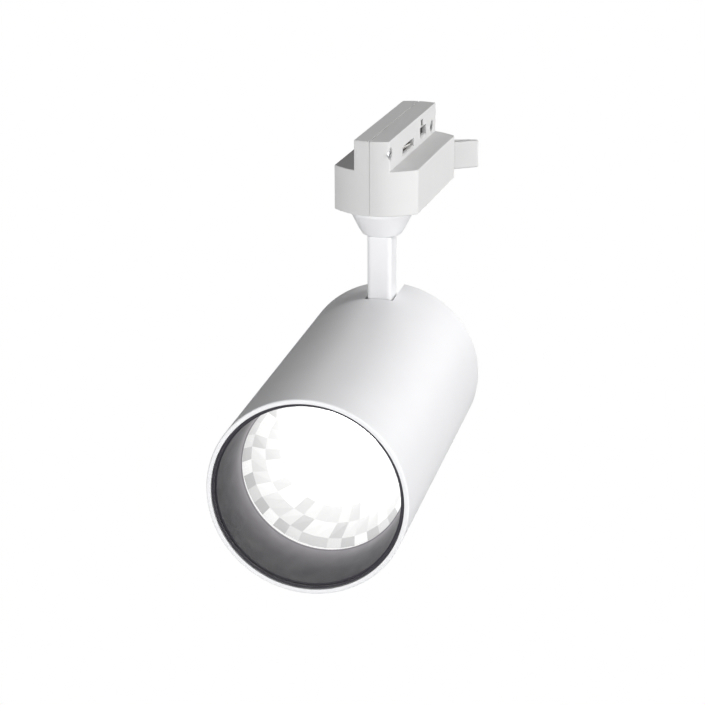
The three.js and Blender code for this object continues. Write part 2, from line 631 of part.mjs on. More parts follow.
function hingeParts() {
  const pivot = [0, PIVOT_HEIGHT];
  const washerLeft = [-HINGE_WASHER_X[1], -HINGE_WASHER_X[0]];
  const nutSpan = [-CHEEK_X[1] - GAP - 3.2, -CHEEK_X[1] - GAP];
  return [
    mesh('hinge_screw', screw('x', HINGE_HEAD_X, -11.6, pivot, 2, 3.5, 2.6), STEEL),
    mesh('hinge_spring_washer', ring('x', 3.6, EYE_BORE, HINGE_SPRING_X, pivot, 24), STEEL),
    mesh('hinge_nut', hexNut('x', nutSpan, 8, EYE_BORE, pivot), STEEL),
    mesh('hinge_washer_right', ring('x', 5.7, EYE_BORE, HINGE_WASHER_X, pivot, 28), NYLON),
    mesh('hinge_washer_left', ring('x', 5.7, EYE_BORE, washerLeft, pivot, 28), NYLON),
  ];
}

// ---------------------------------------------------------------- driver

// An open tray with a ledge along each side for the circuit board.
function driverCase() {
  const half = DRIVER_WIDTH / 2;
  const inner = half - DRIVER_WALL;
  const [y0, y1] = DRIVER_Y;
  const top = DRIVER_Z[1] - 1.8;
  const inside = [y0 + DRIVER_WALL, y1 - DRIVER_WALL];
  const ledge = [DRIVER_Z[0] + 1, BOARD_Z[0] - GAP];
  return block([-half, half], DRIVER_Y, [DRIVER_Z[0], top])
    .subtract(block([-inner, inner], inside, [DRIVER_Z[0] + DRIVER_WALL, top + 1]))
    .add(block([-half + 1, -half + 5], [y0 + 1, y1 - 1], ledge))
    .add(block([half - 5, half - 1], [y0 + 1, y1 - 1], ledge));
}

// The lid lies under the chassis plate, with a rim along each side that drops into the case.
function driverLid() {
  const half = DRIVER_WIDTH / 2;
  const [y0, y1] = DRIVER_Y;
  const lid = [DRIVER_Z[1] - 1.5, DRIVER_Z[1]];
  let body = block([-half, half], DRIVER_Y, lid)
    .subtract(block([-4.5, 4.5], [-25, -15], [lid[0] - 1, lid[1] + 1]))
    .subtract(block([-3, 3], [y0 - 1, y0 + 4], [lid[0] - 1, lid[1] + 1]));
  for (const side of [-1, 1]) {
    const centre = [side * DRIVER_SCREW.x, DRIVER_SCREW.y];
    body = body.subtract(bar('z', 1.3, [lid[0] - 1, lid[1] + 1], centre, 16));
  }
  const rimWall = [lid[0] - 2, lid[0] + 0.5];
  const inner = half - DRIVER_WALL - GAP;
  return body
    .add(block([-inner, -inner + 1.2], [y0 + 6, y1 - 6], rimWall))
    .add(block([inner - 1.2, inner], [y0 + 6, y1 - 6], rimWall));
}

function driverBoard() {
  const half = DRIVER_WIDTH / 2 - DRIVER_WALL - GAP;
  return block([-half, half], [DRIVER_Y[0] + 1.9, DRIVER_Y[1] - 1.9], BOARD_Z);
}

// A wound transformer: a core block round a taped winding.
function driverTransformer() {
  return block([-15, -1], [-11, 2], [PARTS_Z, PARTS_Z + 4])
    .add(block([-15, -1], [-11, 2], [PARTS_Z + 12, PARTS_Z + 16]))
    .add(block([-12.5, -3.5], [-12.5, 3.5], [PARTS_Z + 3, PARTS_Z + 13]));
}

function driverCapacitor() {
  const centre = [8, -4];
  return bar('z', 5, [PARTS_Z, PARTS_Z + 15], centre, 32)
    .add(bar('z', 4.5, [PARTS_Z + 14, PARTS_Z + 16], centre, 32));
}

// The push-in terminal for the supply leads, under the opening in the lid.
function driverTerminal() {
  let terminal = block([-6, 6], [-28, -20], [PARTS_Z, PARTS_Z + 9]);
  for (const x of [-3, 3]) {
    terminal = terminal.subtract(bar('z', 1.3, [PARTS_Z + 3, PARTS_Z + 10], [x, -24], 12));
  }
  return terminal;
}

function ledLead(side) {
  const x = side * 1.2;
  const notch = DRIVER_Y[0] + 2.8;
  return wire(0.7, [
    [x, HOLDER_FRONT + 5, LEAD_HOLE_Z],
    [x, SINK_REAR - 2, LEAD_HOLE_Z],
    [x, SINK_REAR + 6, LEAD_HOLE_Z - 1.5],
    [x, notch - 1.2, CHASSIS_Z[1] + 2],
    [x, notch, 8],
    [x, notch, 3],
  ], 14);
}

// ---------------------------------------------------------------- assembly

const adapter = new THREE.Group();
adapter.add(
  ...adapterShells(),
  ...adapterScrews(),
  mesh('contact_carrier', contactCarrier(), NYLON),
  mesh('contact_live', contactBlade(1), TINNED),
  mesh('contact_neutral', contactBlade(-1), TINNED),
  mesh('adapter_lead_live', adapterLead(1), WIRE_BROWN),
  mesh('adapter_lead_neutral', adapterLead(-1), WIRE_BLUE),
  mesh('lock_lever', lockLever(), WHITE_PLASTIC),
  mesh('lock_wing', lockWing(), STEEL),
);

const stem = new THREE.Group();
stem.add(
  mesh('stem_arm', stemArm(), WHITE_PAINT),
  mesh('swivel_cup', swivelCup(), WHITE_PLASTIC),
  mesh('swivel_washer', swivelWasher(), NYLON),
  mesh('swivel_spring_washer', ring('z', 8.4, SPIGOT_RADIUS + GAP, SPRING_WASHER_Z, [0, 0], 32), STEEL),
  mesh('swivel_nut', hexNut('z', NUT_Z, 16, SPIGOT_RADIUS + GAP, [0, 0]), BRASS),
  mesh('stem_lead_live', stemLead(1), WIRE_BROWN),
  mesh('stem_lead_neutral', stemLead(-1), WIRE_BLUE),
);

const lamp = new THREE.Group();
lamp.position.z = LAMP_AXIS_Z;
const glassSpan = [GLASS_FRONT, GLASS_FRONT + GLASS_THICKNESS];
const boardHalves = [-BOARD_HALF, BOARD_HALF];
const boardSpan = [SINK_FRONT - GAP - BOARD_THICKNESS, SINK_FRONT - GAP];
const emitterSpan = [boardSpan[0] - GAP - EMITTER.thickness, boardSpan[0] - GAP];
lamp.add(
  mesh('housing_tube', lampTube(), WHITE_PAINT),
  mesh('rear_cap', rearCap(), WHITE_PAINT),
  mesh('baffle', baffle(), BLACK_PLASTIC),
  mesh('cover_glass', bar('y', GLASS_RADIUS, glassSpan, [0, 0], 56), GLASS),
  mesh('reflector', reflector(), MIRROR),
  mesh('led_emitter', bar('y', EMITTER.radius, emitterSpan, [0, 0], 32), PHOSPHOR),
  mesh('led_board', block(boardHalves, boardSpan, boardHalves), CERAMIC),
  mesh('led_holder', ledHolder(), WHITE_PLASTIC),
  mesh('heat_sink', heatSink(), ALUMINIUM),
  mesh('chassis_plate', chassisPlate(), ALUMINIUM),
  ...hingeParts(),
  mesh('driver_case', driverCase(), WHITE_PLASTIC),
  mesh('driver_lid', driverLid(), WHITE_PLASTIC),
  mesh('driver_board', driverBoard(), CIRCUIT_BOARD),
  mesh('driver_transformer', driverTransformer(), TAPE),
  mesh('driver_capacitor', driverCapacitor(), CAN_BLUE),
  mesh('driver_terminal', driverTerminal(), NYLON),
  mesh('led_lead_positive', ledLead(1), WIRE_RED),
  mesh('led_lead_negative', ledLead(-1), WIRE_BLACK),
);

for (const [word, side] of [['left', -1], ['right', 1]]) {
  const capCentre = [side * CAP_SCREWS.x, CAP_SCREWS.z];
  const footCentre = [side * FOOT_SCREW_X, 0];
  const sinkCentre = [side * SINK_POST.x, SINK_POST.z];
  const holderCentre = [side * HOLDER_SCREW_X, 0];
  const driverCentre = [side * DRIVER_SCREW.x, DRIVER_SCREW.y];
  const sinkSeat = CHASSIS_FRONT + CHASSIS_SHEET + GAP;
  const capScrew = screw('y', CAP_HEAD_SEAT + GAP, 7.5, capCentre, 1, 2.6, 1.3);
  const footScrew = screw('z', FOOT_Z[1] + GAP, CHASSIS_Z[0] - 0.1, footCentre, 1, 2.6, 1.8);
  const sinkScrew = screw('y', sinkSeat, SINK_REAR - 6, sinkCentre, 1.1, 2.6, 1.8);
  const holderScrew = screw('y', HOLDER_FRONT - GAP, SINK_FRONT + 3, holderCentre, 1.1, 2.4, 1.6);
  const driverScrew = screw('z', CHASSIS_Z[1] + GAP, DRIVER_Z[1] - 3.6, driverCentre, 1, 2.6, 1.8);
  lamp.add(
    mesh(`hinge_bracket_${word}`, hingeBracket(side), STEEL),
    mesh(`rear_cap_screw_${word}`, capScrew, STEEL),
    mesh(`bracket_screw_${word}`, footScrew, STEEL),
    mesh(`chassis_screw_${word}`, sinkScrew, STEEL),
    mesh(`led_holder_screw_${word}`, holderScrew, STEEL),
    mesh(`driver_screw_${word}`, driverScrew, STEEL),
  );
}

const swivelled = new THREE.Group();
swivelled.rotation.z = THREE.MathUtils.degToRad(REST_SWIVEL);
swivelled.add(stem, lamp);

const spotlight = new THREE.Group();
spotlight.name = 'track_spotlight';
spotlight.add(adapter, swivelled);

export default spotlight;
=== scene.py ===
"""Looks of the track spotlight.

Fine meshes, procedural materials, a pale floor, soft studio light and a camera.

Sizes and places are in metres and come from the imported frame, where the adapter's tongue top is at z = 0, the
track runs along Y and the lamp opens towards -Y, swivelled a few degrees. The stem and the lamp are built
straight and then turned by REST_SWIVEL. MM turns the few detail sizes below into metres.
"""

import json
import math

import bmesh
import bpy
from mathutils import Matrix, Vector


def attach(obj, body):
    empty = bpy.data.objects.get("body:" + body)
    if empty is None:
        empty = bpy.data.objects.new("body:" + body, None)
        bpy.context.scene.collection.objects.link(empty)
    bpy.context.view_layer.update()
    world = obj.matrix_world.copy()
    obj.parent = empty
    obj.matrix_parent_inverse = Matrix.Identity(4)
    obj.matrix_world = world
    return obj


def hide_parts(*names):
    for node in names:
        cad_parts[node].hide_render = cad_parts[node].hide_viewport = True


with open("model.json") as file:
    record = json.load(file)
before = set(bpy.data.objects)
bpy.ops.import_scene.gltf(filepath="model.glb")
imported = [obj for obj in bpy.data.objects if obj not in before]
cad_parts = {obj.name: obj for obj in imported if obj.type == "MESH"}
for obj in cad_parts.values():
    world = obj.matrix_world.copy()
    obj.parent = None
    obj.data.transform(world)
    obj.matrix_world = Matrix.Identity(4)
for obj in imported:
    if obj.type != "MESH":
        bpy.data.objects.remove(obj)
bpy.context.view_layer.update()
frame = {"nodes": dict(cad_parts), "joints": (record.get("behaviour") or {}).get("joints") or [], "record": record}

MM = 0.001
RECORD = frame["record"]
BODY_OF = {node: body for body, nodes in RECORD["behaviour"]["bodies"].items() for node in nodes}
SLOT_OF = {row["node"]: row["material_slot"] for row in RECORD["subparts"]}
TILT = next(j for j in frame["joints"] if j["name"] == "tilt")
REST_SWIVEL = math.atan2(TILT["axis"][1], TILT["axis"][0])
SWIVELLED = ("stem", "lamp")


def straightened(node):
    """The turn that brings a node of the stem or the lamp in line with the track."""
    return Matrix.Rotation(-REST_SWIVEL if BODY_OF[node] in SWIVELLED else 0.0, 4, "Z")


def box(node):
    """The low and high corners of a CAD node, measured in line with the track."""
    obj = frame["nodes"][node]
    to_track = straightened(node) @ obj.matrix_world
    points = [to_track @ vertex.co for vertex in obj.data.vertices]
    return tuple(Vector([pick(p[i] for p in points) for i in range(3)]) for pick in (min, max))


# ------------------------------------------------------------------ dimensions taken from the frame

SHELL_LOW, SHELL_HIGH = box("adapter_shell_right")
LEFT_HIGH = box("adapter_shell_left")[1]
TUBE_LOW, TUBE_HIGH = box("housing_tube")
BAFFLE_LOW, BAFFLE_HIGH = box("baffle")
GLASS_LOW, GLASS_HIGH = box("cover_glass")
OPTIC_LOW, OPTIC_HIGH = box("reflector")
CAP_LOW, CAP_HIGH = box("rear_cap")
STEM_LOW, STEM_HIGH = box("stem_arm")
CUP_LOW, CUP_HIGH = box("swivel_cup")
LEVER_LOW, LEVER_HIGH = box("lock_lever")

BODY_HALF = SHELL_HIGH.x
UNDERSIDE = SHELL_LOW.z
SHOULDER = -12.2 * MM
TONGUE_HALF = 7.25 * MM
END_BULGE = 8.5 * MM
SEAM_GAP = SHELL_LOW.x - LEFT_HIGH.x
SEAM_X = (SHELL_LOW.x + LEFT_HIGH.x) / 2
SHELL_WALL = 1.8 * MM
LOCK_Y = 41 * MM
LEVER_PLATE = (LEVER_LOW.z + 1.1 * MM, -15.1 * MM)
LEVER_ANGLE = math.radians(35)

LAMP_RADIUS = TUBE_HIGH.x
LAMP_Z = TUBE_LOW.z + LAMP_RADIUS
TUBE_WALL = 1.8 * MM
TUBE_BORE = LAMP_RADIUS - TUBE_WALL
OPTIC_RADIUS = 31.3 * MM
PIVOT_Z = TILT["pos_m"][2]
SLOT_HALF = 5.8 * MM

# ------------------------------------------------------------------ mesh tools


def new_object(name, bm):
    mesh = bpy.data.meshes.new(name)
    bmesh.ops.recalc_face_normals(bm, faces=bm.faces)
    bm.to_mesh(mesh)
    bm.free()
    obj = bpy.data.objects.new(name, mesh)
    bpy.context.scene.collection.objects.link(obj)
    return obj


def fillet(outline, radius, steps=5, turn=22):
    """Rounds each corner of a closed outline that turns by more than so many degrees."""
    points = [Vector(p) for p in outline]
    result = []
    for i, point in enumerate(points):
        before = points[i - 1] - point
        after = points[(i + 1) % len(points)] - point
        bend = math.pi - before.angle(after)
        if bend < math.radians(turn):
            result.append(point)
            continue
        size = radius(point) if callable(radius) else radius
        reach = min(size * math.tan(bend / 2), 0.48 * before.length, 0.48 * after.length)
        start = point + before.normalized() * reach
        end = point + after.normalized() * reach
        for k in range(steps + 1):
            t = k / steps
            result.append(start * (1 - t) ** 2 + point * (2 * t * (1 - t)) + end * t ** 2)
    return result


def area(points):
    return sum(a.cross(b) for a, b in zip(points, points[1:] + points[:1])) / 2


def inset(outline, distance):
    """Moves each side of a closed outline inwards."""
    way = 1 if area(outline) > 0 else -1
    result = []
    for i, point in enumerate(outline):
        a = (point - outline[i - 1]).normalized()
        b = (outline[(i + 1) % len(outline)] - point).normalized()
        normal = way * (Vector((-a.y, a.x)) + Vector((-b.y, b.x)))
        length = max(normal.length_squared / 2, 0.2)
        result.append(point + normal * (distance / length))
    return result


def prism(name, outline, low, high, edge=0.0, steps=3):
    """An outline in X and Y made solid between two heights, with its top and bottom edges rounded."""
    outline = [Vector(p) for p in outline]
    levels = [(0.0, low), (0.0, high)]
    if edge:
        turns = [math.pi / 2 * k / steps for k in range(steps + 1)]
        bottom = [(edge * (1 - math.sin(t)), low + edge * (1 - math.cos(t))) for t in turns]
        top = [(distance, low + high - z) for distance, z in reversed(bottom)]
        levels = bottom + top
    bm = bmesh.new()
    rings = [[bm.verts.new((p.x, p.y, z)) for p in inset(outline, d)] for d, z in levels]
    for lower, upper in zip(rings, rings[1:]):
        for i in range(len(outline)):
            bm.faces.new((lower[i - 1], lower[i], upper[i], upper[i - 1]))
    bm.faces.new(rings[0])
    bm.faces.new(rings[-1])
    return new_object(name, bm)


def rectangle(x0, x1, y0, y1):
    return [Vector((x0, y0)), Vector((x1, y0)), Vector((x1, y1)), Vector((x0, y1))]


def block(x, y, z, edge=0.0):
    return prism("block", rectangle(*x, *y), *z, edge)


def lathe(name, profile, axis="z", centre=(0.0, 0.0), segments=96):
    """A closed profile of (radius, height) points turned about an axis. Points on the axis are merged."""
    bm = bmesh.new()
    rings = []
    for k in range(segments):
        cos = math.cos(2 * math.pi * k / segments)
        sin = math.sin(2 * math.pi * k / segments)
        ring = []
        for radius, height in profile:
            u, v = centre[0] + radius * cos, centre[1] + radius * sin
            point = {"x": (height, u, v), "y": (u, height, v), "z": (u, v, height)}[axis]
            ring.append(bm.verts.new(point))
        rings.append(ring)
    count = len(profile)
    for k in range(segments):
        a, b = rings[k - 1], rings[k]
        for i in range(count):
            if max(profile[i - 1][0], profile[i][0]) > 0:
                bm.faces.new((a[i - 1], a[i], b[i], b[i - 1]))
    bmesh.ops.remove_doubles(bm, verts=bm.verts, dist=1e-7)
    bmesh.ops.dissolve_degenerate(bm, edges=bm.edges, dist=1e-7)
    return new_object(name, bm)


def disc_profile(radius, low, high, edge, steps=4):
    """Half a section of a round bar with rounded rims, for lathe."""
    corners = [(0, low), (radius, low), (radius, high), (0, high)]
    rounded = fillet(corners, lambda p: edge if p.x > 0 else 0, steps)
    return [(p.x, p.y) for p in rounded]


def bar(axis, radius, span, centre=(0.0, 0.0), edge=0.0, segments=48):
    low, high = min(span), max(span)
    if edge:
        return lathe("bar", disc_profile(radius, low, high, edge), axis, centre, segments)
    return lathe("bar", [(0, low), (radius, low), (radius, high), (0, high)], axis, centre, segments)


def apply_modifiers(obj):
    graph = bpy.context.evaluated_depsgraph_get()
    mesh = bpy.data.meshes.new_from_object(obj.evaluated_get(graph))
    obj.modifiers.clear()
    old = obj.data
    obj.data = mesh
    bpy.data.meshes.remove(old)


def combine(obj, tools, operation):
    for tool in tools:
        modifier = obj.modifiers.new("combine", "BOOLEAN")
        modifier.operation = operation
        modifier.solver = "MANIFOLD"
        modifier.object = tool
        apply_modifiers(obj)
        bpy.data.objects.remove(tool)
    return obj


def cut(obj, *tools):
    return combine(obj, tools, "DIFFERENCE")


def join(obj, *tools):
    return combine(obj, tools, "UNION")


def smooth(obj, angle=32):
    for face in obj.data.polygons:
        face.use_smooth = True
    obj.data.set_sharp_from_angle(angle=math.radians(angle))
    modifier = obj.modifiers.new("normals", "WEIGHTED_NORMAL")
    modifier.keep_sharp = True
    apply_modifiers(obj)
    return obj


def refined(node, width):
    """A copy of a CAD node, in line with the track, with flat faces merged and sharp edges rounded."""
    bm = bmesh.new()
    bm.from_mesh(frame["nodes"][node].data)
    bmesh.ops.transform(bm, matrix=straightened(node) @ frame["nodes"][node].matrix_world, verts=bm.verts)
    bmesh.ops.remove_doubles(bm, verts=bm.verts, dist=1e-6)
    bmesh.ops.dissolve_limit(bm, angle_limit=math.radians(1), verts=bm.verts, edges=bm.edges)
    obj = new_object(node + "_piece", bm)
    if width:
        modifier = obj.modifiers.new("edges", "BEVEL")
        modifier.width = width
        modifier.segments = 2
        modifier.limit_method = "ANGLE"
        modifier.angle_limit = math.radians(32)
        apply_modifiers(obj)
    return obj


def place(obj, node):
    """Gives a finished piece the body, material slot and material of the CAD node that it stands for."""
    slot = SLOT_OF[node]
    obj.data.transform(straightened(node).inverted())
    obj.data.materials.clear()
    obj.data.materials.append(MATERIALS[slot])
    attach(obj, BODY_OF[node])
    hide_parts(node)
    return obj


# ------------------------------------------------------------------ materials


def surface(name, colour, roughness, metallic=0.0, tint=0.02, tint_scale=40, rough_spread=0.06,
            grain=0.00002, grain_scale=1500, peel=0.0, peel_scale=400, specular=0.5, **shader_values):
    """A procedural surface: cloudy tint, uneven gloss, a fine grain and, for paint, a soft orange peel."""
    material = bpy.data.materials.new(name)
    material.use_nodes = True
    nodes, links = material.node_tree.nodes, material.node_tree.links
    shader = nodes["Principled BSDF"]
    shader.inputs["Metallic"].default_value = metallic
    shader.inputs["Specular IOR Level"].default_value = specular
    for key, value in shader_values.items():
        shader.inputs[key.replace("_", " ").title()].default_value = value
    where = nodes.new("ShaderNodeTexCoord")

    def noise(scale, detail):
        texture = nodes.new("ShaderNodeTexNoise")
        texture.inputs["Scale"].default_value = scale
        texture.inputs["Detail"].default_value = detail
        links.new(where.outputs["Object"], texture.inputs["Vector"])
        return texture.outputs["Fac"]

    ramp = nodes.new("ShaderNodeValToRGB")
    ramp.color_ramp.elements[0].position = 0.3
    ramp.color_ramp.elements[1].position = 0.7
    ramp.color_ramp.elements[0].color = (*[c * (1 - tint) for c in colour], 1)
    ramp.color_ramp.elements[1].color = (*[min(1, c * (1 + tint)) for c in colour], 1)
    links.new(noise(tint_scale, 4), ramp.inputs["Fac"])
    links.new(ramp.outputs["Color"], shader.inputs["Base Color"])

    gloss = nodes.new("ShaderNodeMapRange")
    gloss.inputs["From Min"].default_value = 0.25
    gloss.inputs["From Max"].default_value = 0.75
    gloss.inputs["To Min"].default_value = roughness - rough_spread
    gloss.inputs["To Max"].default_value = roughness + rough_spread
    links.new(noise(tint_scale * 5, 6), gloss.inputs["Value"])
    links.new(gloss.outputs["Result"], shader.inputs["Roughness"])

    fine = nodes.new("ShaderNodeBump")
    fine.inputs["Strength"].default_value = 0.6
    fine.inputs["Distance"].default_value = grain
    links.new(noise(grain_scale, 3), fine.inputs["Height"])
    if peel:
        soft = nodes.new("ShaderNodeBump")
        soft.inputs["Strength"].default_value = 0.5
        soft.inputs["Distance"].default_value = peel
        links.new(noise(peel_scale, 1), soft.inputs["Height"])
        links.new(soft.outputs["Normal"], fine.inputs["Normal"])
    links.new(fine.outputs["Normal"], shader.inputs["Normal"])
    return material


def brushed(name, colour, roughness, stretch=(1, 1, 12)):
    """Metal with fine drawn scratches along one axis."""
    material = surface(name, colour, roughness, metallic=1.0, tint=0.05, grain=0.00001, grain_scale=900)
    nodes, links = material.node_tree.nodes, material.node_tree.links
    mapping = nodes.new("ShaderNodeMapping")
    mapping.inputs["Scale"].default_value = stretch
    where = next(n for n in nodes if n.type == "TEX_COORD")
    links.new(where.outputs["Object"], mapping.inputs["Vector"])
    bump = next(n for n in nodes if n.type == "BUMP")
    links.new(mapping.outputs["Vector"], bump.inputs["Height"].links[0].from_node.inputs["Vector"])
    return material


def painted_glow(material, strength, colour):
    """Adds painted light: an emission that stands in for the lamp's light falling on the surface, as bright at
    each place as the value stored on the mesh.
    """
    nodes, links = material.node_tree.nodes, material.node_tree.links
    shader = nodes["Principled BSDF"]
    shader.inputs["Emission Strength"].default_value = strength
    painted_light = nodes.new("ShaderNodeAttribute")
    painted_light.attribute_name = "painted_light"
    shade = nodes.new("ShaderNodeMix")
    shade.data_type = "RGBA"
    shade.inputs["A"].default_value = (0.0, 0.0, 0.0, 1)
    shade.inputs["B"].default_value = (*colour, 1)
    shade.clamp_factor = False
    links.new(painted_light.outputs["Fac"], shade.inputs["Factor"])
    links.new(shade.outputs["Result"], shader.inputs["Emission Color"])
    return material


def phosphor():
    """The LED's yellow phosphor, lit: a fine crystal grain under a bright warm glow."""
    material = surface("phosphor", (1.0, 0.86, 0.5), 0.6, tint=0.04, tint_scale=900, grain=0.00004)
    shader = material.node_tree.nodes["Principled BSDF"]
    shader.inputs["Emission Color"].default_value = (1.0, 0.97, 0.92, 1)
    shader.inputs["Emission Strength"].default_value = 10.0
    return material


MATERIALS = {
    "white_paint": surface("white_paint", (0.84, 0.84, 0.855), 0.46, tint=0.012, rough_spread=0.05,
                           peel=0.000012, peel_scale=350, grain=0.0000015, coat_weight=0.2,
                           coat_roughness=0.4),
    "adapter_plastic": surface("adapter_plastic", (0.68, 0.677, 0.676), 0.68, tint=0.015, grain=0.00001,
                               grain_scale=3200, specular=0.15),
    "cover_plastic": surface("cover_plastic", (0.83, 0.83, 0.845), 0.42, tint=0.012, grain=0.00002,
                             grain_scale=3000),
    # the black baffle carries a faint painted glow: painted light from the optic, stored on its mesh
    "black_plastic": painted_glow(
        surface("black_plastic", (0.034, 0.032, 0.042), 0.55, tint=0.05, grain=0.00001, grain_scale=2600,
                specular=0.25),
        strength=0.24, colour=(1.0, 0.96, 1.0)),
    "nylon": surface("nylon", (0.72, 0.69, 0.6), 0.55, tint=0.03),
    "clear_glass": surface("clear_glass", (0.97, 0.985, 0.98), 0.04, tint=0.004, rough_spread=0.01,
                           grain=0.000001, alpha=0.06),
    # the reflector's brightness is a painted glow: painted reflections of the LED's light, not light worked out
    # from it
    "reflector_mirror": painted_glow(surface("reflector_mirror", (0.2, 0.2, 0.205), 0.35, metallic=0.3, tint=0.01),
                                strength=1.0, colour=(1.0, 0.995, 0.985)),
    "phosphor": phosphor(),
    "white_ceramic": surface("white_ceramic", (0.86, 0.85, 0.8), 0.45),
    "cast_aluminium": surface("cast_aluminium", (0.6, 0.61, 0.63), 0.42, metallic=1.0, tint=0.06,
                              grain=0.00008, grain_scale=1100),
    "zinc_steel": brushed("zinc_steel", (0.62, 0.63, 0.64), 0.3),
    "tinned_brass": brushed("tinned_brass", (0.82, 0.81, 0.78), 0.26, (12, 1, 1)),
    "brass": brushed("brass", (0.72, 0.53, 0.24), 0.28),
    "circuit_board": surface("circuit_board", (0.03, 0.2, 0.08), 0.4, tint=0.15, tint_scale=300),
    "winding_tape": surface("winding_tape", (0.72, 0.5, 0.06), 0.4, tint=0.06),
    "capacitor_can": surface("capacitor_can", (0.03, 0.05, 0.12), 0.35, tint=0.1),
    "lead_brown": surface("lead_brown", (0.14, 0.055, 0.025), 0.4, tint=0.1),
    "lead_blue": surface("lead_blue", (0.03, 0.1, 0.35), 0.4, tint=0.1),
    "lead_red": surface("lead_red", (0.4, 0.02, 0.015), 0.4, tint=0.1),
    "lead_black": surface("lead_black", (0.015, 0.015, 0.016), 0.4, tint=0.1),
}

# ------------------------------------------------------------------ adapter


def adapter_outline(half_width, end_inset=0.0, corner=0.0, far_corner=0.0, steps=24):
    """The adapter from above: straight sides, and ends bowed on one parabola for body and tongue."""
    points = []
    for end, way in ((SHELL_HIGH.y - end_inset, 1), (SHELL_LOW.y + end_inset, -1)):
        for i in range(steps + 1):
            x = way * half_width * (1 - 2 * i / steps)
            points.append(Vector((x, end - way * END_BULGE * (x / BODY_HALF) ** 2)))
    if not corner:
        return points
    return fillet(points, lambda p: far_corner if p.y > 0 else corner)


def lever_slot():
    """The plan of the space that the lever sweeps through the far end of the adapter."""
    far = SHELL_HIGH.y - END_BULGE
    slope = math.tan(LEVER_ANGLE)
    left_slope = math.tan(math.radians(25))
    beyond = far + 26 * MM
    face = [(x, far - 0.6 * MM - (BODY_HALF - x) * slope) for x in (6 * MM, 30 * MM)]
    left = [(-13.2 * MM - (y - 52 * MM) * left_slope, y) for y in (beyond, 52 * MM)]
    return [Vector(p) for p in (*face, (30 * MM, beyond), *left)]


SHELL_SCREWS = [
    ("adapter_screw_near", -14.1 * MM, -5.4 * MM),
    ("adapter_screw_far", 54.4 * MM, -8.9 * MM),
]


def window(side, y, z, depth=3 * MM, lead=0.35 * MM):
    """Cutters for an opening in the tongue's wall, with a small lead-in chamfer round its mouth."""
    wall = sorted((side * (TONGUE_HALF - depth), side * (TONGUE_HALF + MM)))
    mouth = sorted((side * (TONGUE_HALF - lead), side * (TONGUE_HALF + MM)))
    wide_y = (y[0] - lead, y[1] + lead)
    wide_z = (z[0] - lead, z[1] + lead)
    return block(wall, y, z), block(mouth, wide_y, wide_z)


